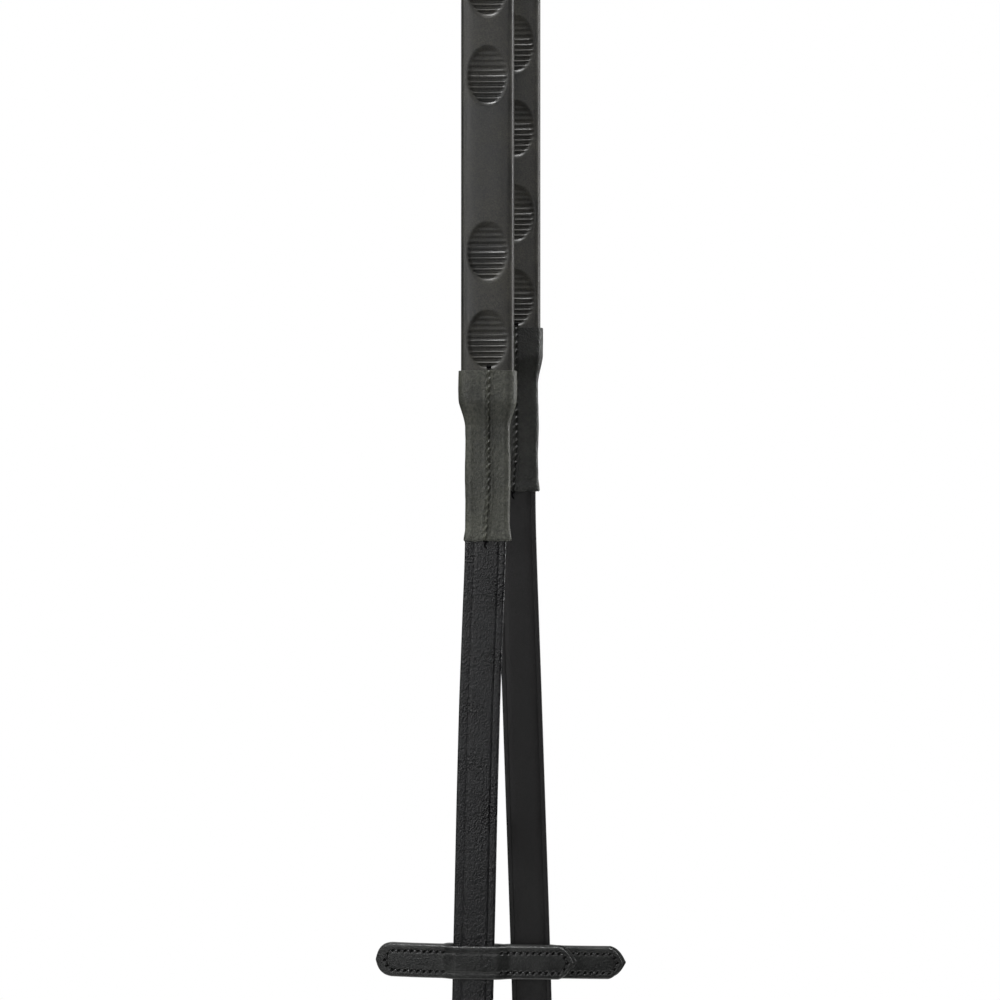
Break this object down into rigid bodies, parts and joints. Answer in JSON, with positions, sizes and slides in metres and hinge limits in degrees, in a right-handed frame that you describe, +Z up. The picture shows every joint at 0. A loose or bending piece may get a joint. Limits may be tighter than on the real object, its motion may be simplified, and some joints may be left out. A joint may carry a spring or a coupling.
{
  "type": "leather reins",
  "caption": "Pair of black leather riding reins with moulded rubber hand grips, rein stops, centre buckle and hook-stud bit ends, hanging from a hook.",
  "frame": {"origin": "the highest point inside the bend of the centre strap, where it rests on a bridle hook", "axes": "+Z up along the hanging reins; +X across the straps; +Y from the left (front) rein to the right (back) rein"},
  "size_m": [0.0992, 0.056, 1.3338],
  "materials": {
    "strap_leather": "smooth, lightly waxed",
    "sleeve_leather": "satin",
    "stop_leather": "smooth, lightly waxed",
    "keeper_leather": "smooth, lightly waxed",
    "grip_rubber": "matt moulded",
    "nylon_webbing": "woven",
    "linen_thread": "waxed",
    "buckle_metal": "polished",
    "stud_metal": "polished"
  },
  "bodies": {
    "centre": {"right_centre_strap": "strap_leather", "left_centre_billet": "strap_leather", "centre_buckle_frame": "buckle_metal", "centre_fixed_keeper": "keeper_leather"},
    "buckle_tongue": {"centre_buckle_tongue": "buckle_metal"},
    "runner": {"centre_runner": "keeper_leather"},
    "left_hand_part": {"left_top_strap": "strap_leather", "left_upper_sleeve": "sleeve_leather", "left_upper_seam_thread": "linen_thread", "left_core_webbing": "nylon_webbing", "left_grip": "grip_rubber", "left_lower_sleeve": "sleeve_leather", "left_lower_seam_thread": "linen_thread", "left_cheek_strap_end": "strap_leather"},
    "left_cheek": {"left_cheek_strap": "strap_leather", "left_billet_lining": "strap_leather", "left_hook_stud": "stud_metal", "left_lower_keeper": "keeper_leather", "left_upper_keeper": "keeper_leather"},
    "left_stop": {"left_stop_front": "stop_leather", "left_stop_back": "stop_leather", "left_stop_thread_left_wing": "linen_thread", "left_stop_thread_right_wing": "linen_thread"},
    "right_hand_part": {"right_top_strap": "strap_leather", "right_upper_sleeve": "sleeve_leather", "right_upper_seam_thread": "linen_thread", "right_core_webbing": "nylon_webbing", "right_grip": "grip_rubber", "right_lower_sleeve": "sleeve_leather", "right_lower_seam_thread": "linen_thread", "right_cheek_strap_end": "strap_leather"},
    "right_cheek": {"right_cheek_strap": "strap_leather", "right_billet_lining": "strap_leather", "right_hook_stud": "stud_metal", "right_lower_keeper": "keeper_leather", "right_upper_keeper": "keeper_leather"},
    "right_stop": {"right_stop_front": "stop_leather", "right_stop_back": "stop_leather", "right_stop_thread_left_wing": "linen_thread", "right_stop_thread_right_wing": "linen_thread"}
  },
  "joints": [
    {"name": "buckle_tongue_hinge", "type": "hinge", "parent": "centre", "child": "buckle_tongue", "pos_m": [-0.0054, -0.0187, -0.08], "axis": [-1, 0, 0], "range_deg": [0, 12]},
    {"name": "runner_slide", "type": "slide", "parent": "centre", "child": "runner", "axis": [0, 0, 1], "range_m": [-0.005, 0.012]},
    {"name": "left_rein_swing", "type": "hinge", "parent": "centre", "child": "left_hand_part", "pos_m": [-0.0054, -0.0208, -0.122], "axis": [-1, 0, 0], "range_deg": [-0.2, 90]},
    {"name": "left_cheek_swing", "type": "hinge", "parent": "left_hand_part", "child": "left_cheek", "pos_m": [-0.0054, -0.0208, -0.925], "axis": [-1, 0, 0], "range_deg": [-1, 90]},
    {"name": "left_stop_slide", "type": "slide", "parent": "left_cheek", "child": "left_stop", "axis": [0.029, 0, 0.9996], "range_m": [-0.14, 0.13]},
    {"name": "right_rein_swing", "type": "hinge", "parent": "centre", "child": "right_hand_part", "pos_m": [0.0054, 0.0208, -0.062], "axis": [1, 0, 0], "range_deg": [-0.2, 90]},
    {"name": "right_cheek_swing", "type": "hinge", "parent": "right_hand_part", "child": "right_cheek", "pos_m": [0.0054, 0.0208, -0.9056], "axis": [1, 0, 0], "range_deg": [-1, 90]},
    {"name": "right_stop_slide", "type": "slide", "parent": "right_cheek", "child": "right_stop", "axis": [-0.0325, 0, 0.9995], "range_m": [-0.12, 0.16]}
  ]
}
